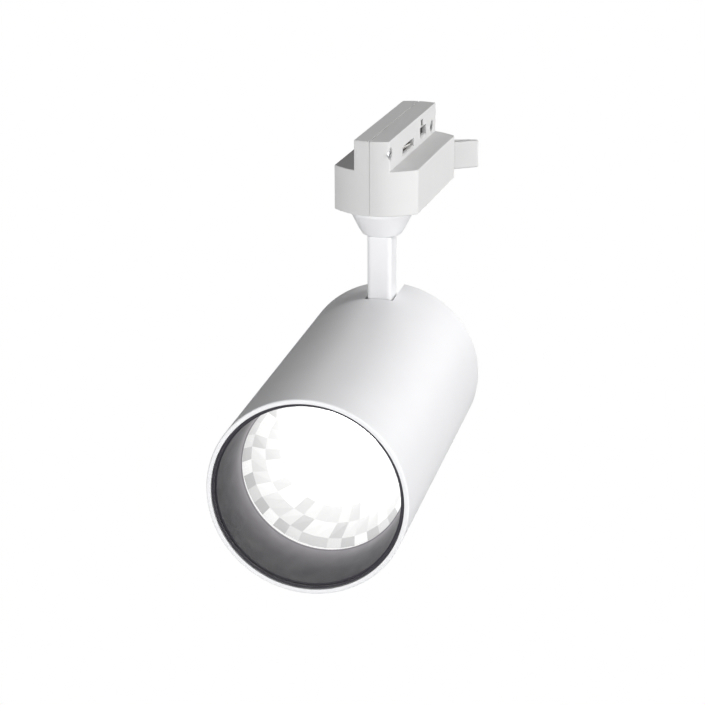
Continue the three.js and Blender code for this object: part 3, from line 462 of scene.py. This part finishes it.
def adapter_shells():
    inner_floor = UNDERSIDE + 2 * MM
    inner_roof = SHOULDER - SHELL_WALL
    lever_low, lever_high = LEVER_PLATE
    body = prism("shell", adapter_outline(BODY_HALF, 0, MM, 2.4 * MM), UNDERSIDE, SHOULDER, 0.45 * MM)
    tongue = prism("tongue", adapter_outline(TONGUE_HALF, 0, 0.7 * MM, MM), SHOULDER - MM, 0, 0.4 * MM)
    join(body, tongue)
    hollow = prism("hollow", adapter_outline(BODY_HALF - SHELL_WALL, 2 * MM), inner_floor, inner_roof)
    inner_tongue = adapter_outline(TONGUE_HALF - 1.6 * MM, 2 * MM)
    join(hollow, prism("hollow", inner_tongue, inner_roof - MM, -1.6 * MM))
    cut(body, hollow)
    inside = TONGUE_HALF - MM
    for _, y, z in SHELL_SCREWS:
        join(body, bar("x", 2.9 * MM, (-inside, inside), (y, z)))
        cut(body, bar("x", 1.25 * MM, (-5 * MM, MM), (y, z)), bar("x", 1.6 * MM, (SEAM_X, inside), (y, z)))
        cut(body, bar("x", 2.5 * MM, (5.2 * MM, TONGUE_HALF + MM), (y, z)))
        cut(body, lathe("countersink", [(0, TONGUE_HALF - 0.3 * MM), (2.5 * MM, TONGUE_HALF - 0.3 * MM),
                                        (3.1 * MM, TONGUE_HALF + 0.3 * MM), (0, TONGUE_HALF + 0.3 * MM)],
                        "x", (y, z), 48))
    join(body, bar("z", 4.8 * MM, (-4.6 * MM, -MM), (0, LOCK_Y)))
    join(body, bar("z", 4.8 * MM, (inner_floor - 0.5 * MM, lever_low - 0.3 * MM), (0, LOCK_Y)))
    stop_z = (inner_floor - 0.5 * MM, inner_floor + 1.6 * MM)
    join(body, block((SEAM_X, 0.9 * MM), (-12.4 * MM, -9.6 * MM), stop_z))
    cut(body, bar("z", 2.8 * MM, (LEVER_LOW.z - 0.3 * MM, -1.7 * MM), (0, LOCK_Y)))
    cut(body, bar("z", 5.3 * MM, (UNDERSIDE - MM, inner_floor + MM), (0, 0)))
    cut(body, prism("slot", lever_slot(), lever_low - 0.3 * MM, lever_high + 0.5 * MM))
    contact_y, contact_z = (5.1 * MM, 22.9 * MM), (-10.1 * MM, -7.1 * MM)
    lock_z = (-9.4 * MM, -5.7 * MM)
    square_y, square_z = (35.2 * MM, 38.8 * MM), (-5.1 * MM, -2.3 * MM)
    cut(body, *window(1, contact_y, contact_z), *window(-1, contact_y, contact_z))
    cut(body, *window(1, (LOCK_Y - 6.7 * MM, LOCK_Y + 3 * MM), lock_z))
    cut(body, *window(-1, (LOCK_Y - 3 * MM, LOCK_Y + 6.7 * MM), lock_z))
    cut(body, *window(1, square_y, square_z, 4.2 * MM, 0.2 * MM))

    # a shallow groove where the shells meet, on every outside face
    groove = 0.18 * MM
    on_ends = (SEAM_X - 0.2 * MM, SEAM_X + 0.2 * MM)
    on_flats = (SEAM_X - 0.3 * MM, SEAM_X + 0.3 * MM)
    whole_y, whole_z = (-50 * MM, 100 * MM), (UNDERSIDE - 5 * MM, 5 * MM)
    top = block(on_flats, whole_y, (-2 * groove, whole_z[1]))
    bottom = block(on_flats, whole_y, (whole_z[0], UNDERSIDE + 2 * groove))
    near_end = block(on_ends, (whole_y[0], SHELL_LOW.y + groove), whole_z)
    far_end = block(on_ends, (SHELL_HIGH.y - groove, whole_y[1]), whole_z)
    cut(body, top, bottom, near_end, far_end)

    left = body.copy()
    left.data = body.data.copy()
    bpy.context.scene.collection.objects.link(left)
    # the mouldings part by about a quarter of the gap between their solids
    half_gap = 0.12 * SEAM_GAP
    for shell, x, node in (
        (body, (-50 * MM, SEAM_X + half_gap), "adapter_shell_right"),
        (left, (SEAM_X - half_gap, 50 * MM), "adapter_shell_left"),
    ):
        cut(shell, block(x, whole_y, whole_z))
        shell.name = node + "_moulding"
        place(smooth(shell), node)


def contacts():
    for node in ("contact_live", "contact_neutral"):
        place(smooth(refined(node, 0.25 * MM)), node)


def lever_outline():
    """The lever from above: a hub, a flat near face, a curved back and a round tip."""
    cos, sin = math.cos(LEVER_ANGLE), math.sin(LEVER_ANGLE)
    along, across = Vector((cos, sin)), Vector((-sin, cos))
    hub = Vector((0, LOCK_Y))
    reach = 33.2

    def at(u, v):
        """A point so many mm along and across the lever."""
        return hub + along * (u * MM) + across * (v * MM)

    def curve(a, b, c, steps=12):
        shares = [k / steps for k in range(1, steps + 1)]
        return [a * (1 - t) ** 2 + b * (2 * t * (1 - t)) + c * t ** 2 for t in shares]

    points = [at(0, 0.9), at(reach - 1.4, 0.9)]
    points += curve(at(reach - 1.4, 0.9), at(reach + 0.2, 1.1), at(reach - 0.4, 2.6))
    points += curve(at(reach - 0.4, 2.6), at(reach - 7, 6.6), at(reach - 15, 6.6))
    points.append(at(0, 5.2))
    return points, at


def lock_parts():
    outline, at = lever_outline()
    low, high = LEVER_PLATE
    lever = prism("lock_lever_moulding", outline, low, high, 0.6 * MM, 4)
    join(lever, bar("z", 5.5 * MM, (low, high), (0, LOCK_Y), 0.4 * MM, 64))
    join(lever, bar("z", 2.5 * MM, (LEVER_LOW.z, LEVER_HIGH.z), (0, LOCK_Y), 0.3 * MM))
    # an eye-shaped finger hollow on top, near the tip
    eye = [at(23.5 + 6.2 * math.cos(t), 3.5 + 1.7 * math.sin(t) * abs(math.sin(t)) ** 0.3)
           for t in (2 * math.pi * k / 40 for k in range(40))]
    cut(lever, prism("eye", eye, high - 0.5 * MM, high + MM))
    place(smooth(lever), "lock_lever")
    place(smooth(refined("lock_wing", 0.2 * MM)), "lock_wing")


# ------------------------------------------------------------------ stem


def stem_parts():
    half_x, half_y = STEM_HIGH.x, STEM_HIGH.y
    bar_top = CUP_LOW.z - 0.06 * MM
    corner = 2 * MM
    outline = fillet(rectangle(-half_x, half_x, -half_y, half_y), corner, 8)
    stem = prism("stem_arm_casting", outline, PIVOT_Z, bar_top)
    eye = disc_profile(half_y, -half_x, half_x, corner, 8)
    join(stem, lathe("eye", eye, "x", (0, PIVOT_Z), 96))
    join(stem, bar("z", 4 * MM, (bar_top - MM, STEM_HIGH.z), (0, 0), 0.3 * MM))
    join(stem, bar("z", 5 * MM, (CUP_LOW.z + 2.6 * MM, STEM_HIGH.z), (0, 0), 0.4 * MM))
    for side in (-1, 1):
        recess = (side * (half_x - 0.95 * MM), side * (half_x + MM))
        cut(stem, bar("x", 6.1 * MM, recess, (0, PIVOT_Z), 0, 64))
    exit_z = PIVOT_Z + 10.2 * MM
    cut(stem, bar("x", 2.3 * MM, (-10 * MM, 10 * MM), (0, PIVOT_Z)))
    cut(stem, bar("z", 2.4 * MM, (exit_z - 2 * MM, STEM_HIGH.z + MM)))
    cut(stem, bar("y", 2.6 * MM, (-13 * MM, 0), (0, exit_z)))
    place(smooth(stem), "stem_arm")

    # the cover's rim stands 0.4 mm outside its solid
    radius, top, bottom = CUP_HIGH.x + 0.4 * MM, CUP_HIGH.z, CUP_LOW.z
    neck = 4.3 * MM
    outer = [(radius, top), (radius, top - 1.7 * MM), (radius - 3.1 * MM, top - 7.9 * MM),
             (radius - 4.9 * MM, bottom), (neck, bottom)]
    inner = [(neck, bottom + 2.2 * MM), (radius - 5.2 * MM, bottom + 2.2 * MM),
             (radius - 1.4 * MM, top - 1.9 * MM), (radius - 1.4 * MM, top)]

    def rounding(p):
        if p.y < bottom + 0.1 * MM and p.x > neck + MM:
            return 1.6 * MM
        return 0.35 * MM

    profile = fillet(outer + inner, rounding, 6, 12)
    place(smooth(lathe("swivel_cup_cover", profile, "z", (0, 0), 128)), "swivel_cup")


# ------------------------------------------------------------------ lamp housing


def housing():
    profile = fillet([(LAMP_RADIUS, TUBE_LOW.y), (LAMP_RADIUS, TUBE_HIGH.y),
                      (TUBE_BORE, TUBE_HIGH.y), (TUBE_BORE, TUBE_LOW.y)],
                     lambda p: 0.8 * MM if p.x > TUBE_BORE else 0.3 * MM, 6)
    tube = lathe("housing_tube_shell", profile, "y", (0, LAMP_Z), 192)
    slot_front = STEM_LOW.y - 0.4 * MM
    slot = fillet(rectangle(-SLOT_HALF, SLOT_HALF, slot_front, TUBE_HIGH.y + 5 * MM), MM, 6)
    cut(tube, prism("slot", slot, LAMP_Z + 27.7 * MM, LAMP_Z + 50 * MM))
    place(smooth(tube), "housing_tube")

    cap_edge = fillet([(0, CAP_LOW.y), (CAP_HIGH.x, CAP_LOW.y), (CAP_HIGH.x, CAP_HIGH.y), (0, CAP_HIGH.y)],
                      lambda p: 0.5 * MM if p.x > 0 else 0, 5)
    cap = lathe("rear_cap_disc", cap_edge, "y", (0, LAMP_Z), 144)
    deep = (CAP_LOW.y - 2 * MM, CAP_HIGH.y + 2 * MM)
    cut(cap, block((-SLOT_HALF, SLOT_HALF), deep, (PIVOT_Z - 6.9 * MM, PIVOT_Z + 30 * MM)))
    for side in (-1, 1):
        centre = (side * 9 * MM, LAMP_Z + 5 * MM)
        seat = CAP_HIGH.y - 1.6 * MM
        cut(cap, bar("y", 1.7 * MM, deep, centre), bar("y", 3 * MM, (seat, deep[1]), centre))
    half = 1.1 * MM
    for row in range(5):
        z = -4 * MM - row * 5.5 * MM
        reach = 0.72 * math.sqrt(TUBE_BORE ** 2 - z ** 2) - half
        vent = block((-reach, reach), deep, (LAMP_Z + z - half, LAMP_Z + z + half))
        for side in (-1, 1):
            join(vent, bar("y", half, deep, (side * reach, LAMP_Z + z), 0, 24))
        cut(cap, vent)
    place(smooth(cap), "rear_cap")


def baffle():
    outer = BAFFLE_HIGH.x
    front, rear = BAFFLE_LOW.y, BAFFLE_HIGH.y
    narrow = Vector((OPTIC_RADIUS + 0.35 * MM, rear - 0.7 * MM))
    wide = Vector((outer - 1.3 * MM, front + 1.5 * MM))
    cone_steps = 14
    cone = [narrow.lerp(wide, k / cone_steps) for k in range(cone_steps + 1)]
    profile = fillet([
        (outer - 0.7 * MM, front), (outer, front), (outer, front + 2 * MM),
        (outer - 0.4 * MM, front + 2.2 * MM), (OPTIC_RADIUS + 1.3 * MM, rear - 1.5 * MM),
        (outer, rear - 1.5 * MM), (outer, rear), (OPTIC_RADIUS, rear), (OPTIC_RADIUS, rear - 0.5 * MM),
        *cone, (outer - 0.75 * MM, front + 1.3 * MM),
    ], 0.12 * MM, 3, 15)
    obj = smooth(lathe("baffle_cone", profile, "y", (0, LAMP_Z), 144), 30)
    # painted light: the optic's light on the cone, stored on the mesh as a glow that dies away towards the front
    depths = [max(0.0, (vertex.co.y - front) / (rear - front)) for vertex in obj.data.vertices]
    obj.data.attributes.new("painted_light", "FLOAT", "POINT").data.foreach_set("value", [d ** 4 for d in depths])
    place(obj, "baffle")


# ------------------------------------------------------------------ optics


def reflector():
    """A faceted bowl: rings of flats that step round by part of a facet from ring to ring, each facet with a
    painted glow that stands in for the LED's light reflected by it.
    """
    front = OPTIC_LOW.y + 2.3 * MM
    rear = OPTIC_HIGH.y
    rim, throat = OPTIC_RADIUS + 0.7 * MM, 9.3 * MM
    count = 36
    radii = [rim, 0.925 * rim, 0.80 * rim, 0.66 * rim, 0.50 * rim, throat]
    collar = 6 * MM
    offsets = [0.0, 0.0, 0.5, 0.9, 1.4, 2.0]
    skin = 1.1 * MM

    def depth(radius):
        share = (radius ** 2 - throat ** 2) / (rim ** 2 - throat ** 2)
        return rear - MM - share * (rear - MM - front)

    bm = bmesh.new()
    painted_light = bm.faces.layers.float.new("painted_light_face")

    def ring(radius, height, offset, number=count):
        return [bm.verts.new((radius * math.cos(a), height, LAMP_Z + radius * math.sin(a)))
                for a in (2 * math.pi * (k + offset) / number for k in range(number))]

    def bridge(a, b, painted_lights):
        for k in range(len(a)):
            face = bm.faces.new((a[k - 1], a[k], b[k], b[k - 1]))
            face[painted_light] = painted_lights(k)

    bowl = [ring(r, depth(r), o) for r, o in zip(radii, offsets)]
    bowl.append(ring(collar, rear - 0.9 * MM, offsets[-1]))
    # the lowest and highest painted brightness of each ring: every facet gets its own painted reflection, as if it
    # caught the light a little differently
    painted_reflection_ranges = [(0.34, 0.78), (0.46, 0.84), (0.6, 0.9), (0.8, 1.1), (5.0, 6.0), (7.0, 7.0)]
    for i, (dim, bright) in enumerate(painted_reflection_ranges):
        bridge(bowl[i], bowl[i + 1], lambda k: dim + (bright - dim) * ((7 * k * k + 3 * k + 5 * i) % 11) / 10)
    flange = OPTIC_HIGH.x
    lip = GLASS_HIGH.x + 0.3 * MM
    outside = [ring(r + skin, depth(r), o) for r, o in zip(radii[1:-1], offsets[1:])]
    foot = [ring(collar, rear, offsets[-1]), ring(throat + skin, rear, offsets[-1])]
    back = [*foot, *reversed(outside), ring(rim + skin, front + skin, 0.0), ring(flange, front + skin, 0.0),
            ring(flange, OPTIC_LOW.y, 0.0), ring(lip, OPTIC_LOW.y, 0.0), ring(lip, front, 0.0)]
    # the outside of the bowl carries no painted light
    chain = [bowl[-1], *back]
    for a, b in zip(chain, chain[1:]):
        bridge(a, b, lambda k: 0.0)
    # the lip at the rim is painted at a glow of 1.0
    bridge(back[-1], bowl[0], lambda k: 1.0)
    values = [face[painted_light] for face in bm.faces]
    obj = new_object("reflector_bowl", bm)
    obj.data.attributes.new("painted_light", "FLOAT", "FACE").data.foreach_set("value", values)
    place(obj, "reflector")


def optics():
    reflector()
    edge = 0.35 * MM
    profile = disc_profile(GLASS_HIGH.x, GLASS_LOW.y, GLASS_HIGH.y, edge)
    place(smooth(lathe("cover_glass_disc", profile, "y", (0, LAMP_Z), 144)), "cover_glass")
    low, high = box("led_emitter")
    dome = [(0, high.y), (high.x, high.y), (high.x, low.y + 0.2 * MM), (0.9 * high.x, low.y), (0, low.y)]
    place(smooth(lathe("led_emitter_disc", dome, "y", (0, LAMP_Z), 64)), "led_emitter")


# ------------------------------------------------------------------ fasteners and inner parts


def screw(node, axis, head_side, shank, head_height):
    """A pan-head screw with a cross recess. head_side is 1 where the head is at the axis's high end."""
    low, high = box(node)
    index = "xyz".index(axis)
    others = [i for i in range(3) if i != index]
    centre = [(low[i] + high[i]) / 2 for i in others]
    radius = (high[others[0]] - low[others[0]]) / 2
    top = high[index] if head_side > 0 else low[index]
    tip = low[index] if head_side > 0 else high[index]
    seat = top - head_side * head_height
    head = fillet([(0, seat), (radius, seat), (radius, top - head_side * 0.35 * head_height),
                   (0.7 * radius, top), (0, top)], lambda p: 0.2 * MM if p.x > 0 else 0, 4)
    piece = lathe(node + "_piece", [(p.x, p.y) for p in head], axis, centre, 48)
    join(piece, bar(axis, shank, (tip, seat + head_side * 0.3 * head_height), centre, 0.15 * MM, 32))
    arm, thin = 0.62 * radius, 0.16 * radius
    recess = top - head_side * 0.55 * head_height
    reach = sorted((recess, top + head_side * MM))
    for half in ((arm, thin), (thin, arm)):
        spans = [None, None, None]
        spans[index] = reach
        for i, c, h in zip(others, centre, half):
            spans[i] = (c - h, c + h)
        cut(piece, block(*spans))
    place(smooth(piece), node)


def fasteners():
    for node, _, _ in SHELL_SCREWS:
        screw(node, "x", 1, 0.95 * MM, 1.4 * MM)
    screw("hinge_screw", "x", 1, 2 * MM, 2.6 * MM)
    for side in ("left", "right"):
        screw(f"rear_cap_screw_{side}", "y", 1, MM, 1.3 * MM)
        screw(f"bracket_screw_{side}", "z", 1, MM, 1.8 * MM)
        screw(f"chassis_screw_{side}", "y", 1, 1.1 * MM, 1.8 * MM)
        screw(f"led_holder_screw_{side}", "y", -1, 1.1 * MM, 1.6 * MM)
        screw(f"driver_screw_{side}", "z", 1, MM, 1.8 * MM)


# the width of the rounded edges of each inner part, in mm
INNER_PARTS = {
    "contact_carrier": 0.25, "swivel_washer": 0.15, "swivel_spring_washer": 0.1, "swivel_nut": 0.3,
    "hinge_spring_washer": 0.1, "hinge_nut": 0.25, "hinge_washer_right": 0.1, "hinge_washer_left": 0.1,
    "hinge_bracket_left": 0.3, "hinge_bracket_right": 0.3, "led_board": 0.15, "led_holder": 0.25,
    "heat_sink": 0.2, "chassis_plate": 0.25, "driver_case": 0.35, "driver_lid": 0.25,
    "driver_board": 0.1, "driver_transformer": 0.4, "driver_capacitor": 0.4, "driver_terminal": 0.25,
    "adapter_lead_live": 0, "adapter_lead_neutral": 0, "stem_lead_live": 0, "stem_lead_neutral": 0,
    "led_lead_positive": 0, "led_lead_negative": 0,
}


def inner_parts():
    for node, width in INNER_PARTS.items():
        place(smooth(refined(node, width * MM), 40), node)


# ------------------------------------------------------------------ stage


def stage_material(name, seen, lit):
    """White to the eye, and a darker plain surface to everything that it lights."""
    material = bpy.data.materials.new(name)
    material.use_nodes = True
    nodes, links = material.node_tree.nodes, material.node_tree.links
    nodes.clear()
    output = nodes.new("ShaderNodeOutputMaterial")
    mix = nodes.new("ShaderNodeMixShader")
    glow = nodes.new("ShaderNodeEmission")
    glow.inputs["Strength"].default_value = seen
    plain = nodes.new("ShaderNodeBsdfDiffuse")
    plain.inputs["Color"].default_value = (lit, lit, lit, 1)
    path = nodes.new("ShaderNodeLightPath")
    links.new(path.outputs["Is Camera Ray"], mix.inputs["Fac"])
    links.new(plain.outputs["BSDF"], mix.inputs[1])
    links.new(glow.outputs["Emission"], mix.inputs[2])
    links.new(mix.outputs["Shader"], output.inputs["Surface"])
    return material


def floor():
    drop = 0.25
    bm = bmesh.new()
    bmesh.ops.create_grid(bm, x_segments=1, y_segments=1, size=12)
    obj = new_object("floor", bm)
    obj.location.z = TUBE_LOW.z - drop
    obj.data.materials.append(stage_material("pale_floor", 1.0, 0.5))


def area_light(name, direction, distance, size, power):
    target = Vector((0, -0.03, -0.07))
    light = bpy.data.lights.new(name, "AREA")
    light.shape = "RECTANGLE"
    light.size, light.size_y = size
    light.energy = power
    obj = bpy.data.objects.new(name, light)
    bpy.context.scene.collection.objects.link(obj)
    way = Vector(direction).normalized()
    obj.location = target + way * distance
    obj.rotation_euler = way.to_track_quat("Z", "Y").to_euler()
    obj.visible_camera = False
    return obj


def lights():
    area_light("key_light", (1.0, 0.06, 0.6), 1.4, (0.4, 1.1), 15)
    area_light("side_light", (1.0, 0.1, -0.08), 1.5, (0.5, 0.5), 5)
    area_light("front_light", (-0.08, -1.0, 0.02), 1.7, (1.3, 0.9), 26)
    fill = area_light("rear_fill", (-0.3, 1.0, -0.05), 1.6, (1.0, 0.8), 8)
    fill.visible_glossy = False
    sheen = area_light("back_light", (0.25, 1.0, 0.22), 1.5, (1.8, 0.8), 7)
    sheen.visible_diffuse = False
    world = bpy.data.worlds.new("studio")
    bpy.context.scene.world = world
    world.use_nodes = True
    nodes, links = world.node_tree.nodes, world.node_tree.links
    back = nodes["Background"]
    path = nodes.new("ShaderNodeLightPath")
    level = nodes.new("ShaderNodeMapRange")
    lit, seen = 0.14, 1.0
    level.inputs["To Min"].default_value = lit
    level.inputs["To Max"].default_value = seen
    links.new(path.outputs["Is Camera Ray"], level.inputs["Value"])
    links.new(level.outputs["Result"], back.inputs["Strength"])
    back.inputs["Color"].default_value = (1, 1, 1, 1)


def camera():
    """A long lens in front of the lamp, a little to its right and above it."""
    data = bpy.data.cameras.new("camera")
    data.sensor_width = 36
    data.lens = 112.44
    data.clip_start = 0.05
    obj = bpy.data.objects.new("camera", data)
    bpy.context.scene.collection.objects.link(obj)
    spot = Vector((0.22105, -0.83397, 0.1928))
    forward = Vector((-0.256184, 0.914156, -0.31415)).normalized()
    up = Vector((-0.081018, 0.303546, 0.94937))
    right = forward.cross(up).normalized()
    up = right.cross(forward)
    turn = Matrix((right, up, -forward)).transposed().to_4x4()
    obj.matrix_world = Matrix.Translation(spot) @ turn
    bpy.context.scene.camera = obj


camera()
adapter_shells()
contacts()
lock_parts()
stem_parts()
housing()
baffle()
optics()
fasteners()
inner_parts()
floor()
lights()
bpy.context.scene.view_settings.view_transform = "Standard"
bpy.context.scene.view_settings.look = "None"
